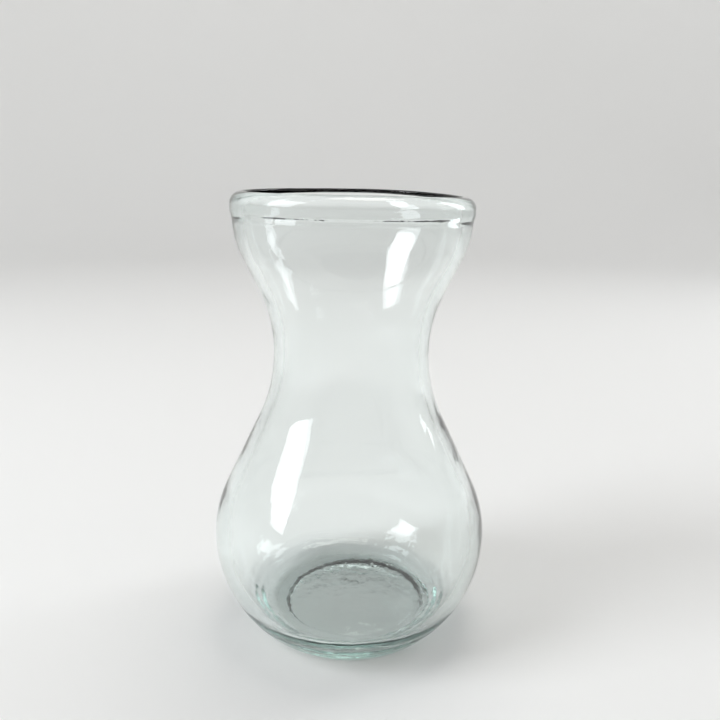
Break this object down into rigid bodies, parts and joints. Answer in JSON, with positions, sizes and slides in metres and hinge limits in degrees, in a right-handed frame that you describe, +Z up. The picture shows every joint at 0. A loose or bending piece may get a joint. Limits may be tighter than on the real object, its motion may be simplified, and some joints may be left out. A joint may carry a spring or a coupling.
{
  "type": "bulb vase",
  "caption": "Clear glass vase for a bulb or bud: a round belly for water, a narrow waist and a flared collar with a thick rounded lip.",
  "frame": {"origin": "on the vase's axis, at the level of the table that its bearing ring stands on", "axes": "+Z up along the axis, out of the mouth; X and Y are equal, as the shape is turned about Z"},
  "size_m": [0.0748, 0.0748, 0.12],
  "materials": {
    "clear_glass": "fire-polished clear soda-lime glass with a faint blue-green tint where it is thick"
  },
  "bodies": {
    "root": {"glass_vase": "clear_glass"}
  },
  "joints": []
}
